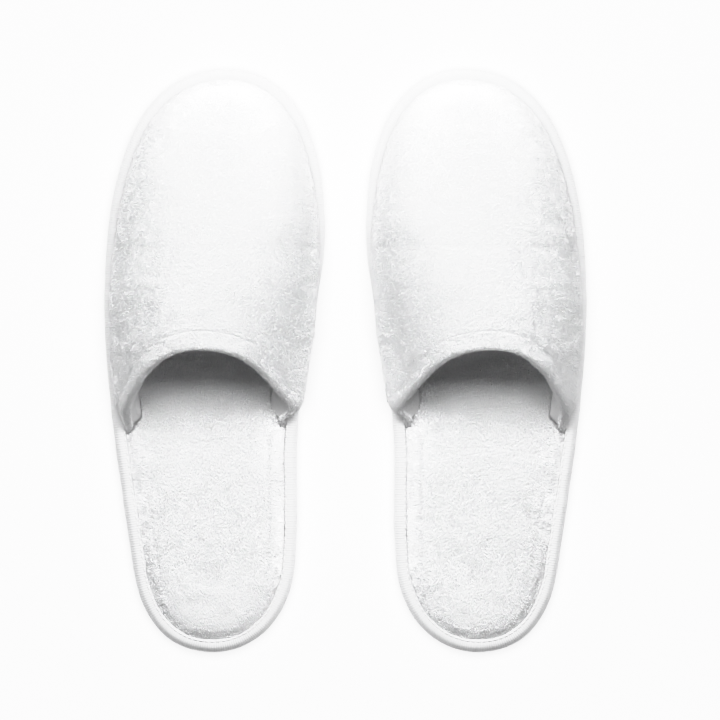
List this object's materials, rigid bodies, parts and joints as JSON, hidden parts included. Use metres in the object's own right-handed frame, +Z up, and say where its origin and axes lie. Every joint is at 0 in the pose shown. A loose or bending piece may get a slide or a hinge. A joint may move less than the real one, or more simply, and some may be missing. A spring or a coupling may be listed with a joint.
{
  "type": "spa slippers",
  "caption": "Closed-toe plush spa slippers, left and right, with an open throat, a plush insole and a flexible bound sole.",
  "frame": {"origin": "on the floor, midway between the two slippers and midway between their toe and heel ends", "axes": "+Y from the heels towards the toes, +X from the left slipper to the right one, +Z up"},
  "size_m": [0.236, 0.285, 0.0541],
  "materials": {
    "upper_plush": "white coral fleece, dense short pile",
    "hem_plush": "white coral fleece, pile opened over the turn",
    "insole_plush": "white fleece, puffy and slightly matted pile",
    "binding_tape": "white rib-knitted tape, matte",
    "thread": "white spun polyester thread",
    "upper_lining": "white smooth warp-knit lining",
    "upper_sponge": "soft open-cell sponge",
    "sole_sponge": "soft sponge board",
    "outsole_eva": "matte white foam rubber with small grip studs"
  },
  "bodies": {
    "left_slipper_front": {"left_outsole_fore": "outsole_eva", "left_sole_sponge_fore": "sole_sponge", "left_insole_cover_fore": "insole_plush", "left_edge_binding_fore": "binding_tape", "left_binding_stitching_fore": "thread", "left_upper_plush": "upper_plush", "left_upper_sponge": "upper_sponge", "left_upper_lining": "upper_lining", "left_throat_hem": "hem_plush", "left_throat_stitching": "thread"},
    "left_slipper_heel": {"left_outsole_heel": "outsole_eva", "left_sole_sponge_heel": "sole_sponge", "left_insole_cover_heel": "insole_plush", "left_edge_binding_heel": "binding_tape", "left_binding_stitching_heel": "thread"},
    "right_slipper_front": {"right_outsole_fore": "outsole_eva", "right_sole_sponge_fore": "sole_sponge", "right_insole_cover_fore": "insole_plush", "right_edge_binding_fore": "binding_tape", "right_binding_stitching_fore": "thread", "right_upper_plush": "upper_plush", "right_upper_sponge": "upper_sponge", "right_upper_lining": "upper_lining", "right_throat_hem": "hem_plush", "right_throat_stitching": "thread"},
    "right_slipper_heel": {"right_outsole_heel": "outsole_eva", "right_sole_sponge_heel": "sole_sponge", "right_insole_cover_heel": "insole_plush", "right_edge_binding_heel": "binding_tape", "right_binding_stitching_heel": "thread"}
  },
  "joints": [
    {"name": "left_sole_flex", "type": "hinge", "parent": "left_slipper_front", "child": "left_slipper_heel", "pos_m": [-0.064, -0.0525, 0.012], "axis": [-1, 0, 0], "range_deg": [0, 40], "stiffness_Nm_per_rad": 0.15},
    {"name": "slippers_apart", "type": "slide", "parent": "left_slipper_front", "child": "right_slipper_front", "axis": [1, 0, 0], "range_m": [-0.018, 0.2]},
    {"name": "right_sole_flex", "type": "hinge", "parent": "right_slipper_front", "child": "right_slipper_heel", "pos_m": [0.064, -0.0525, 0.012], "axis": [-1, 0, 0], "range_deg": [0, 40], "stiffness_Nm_per_rad": 0.15}
  ]
}
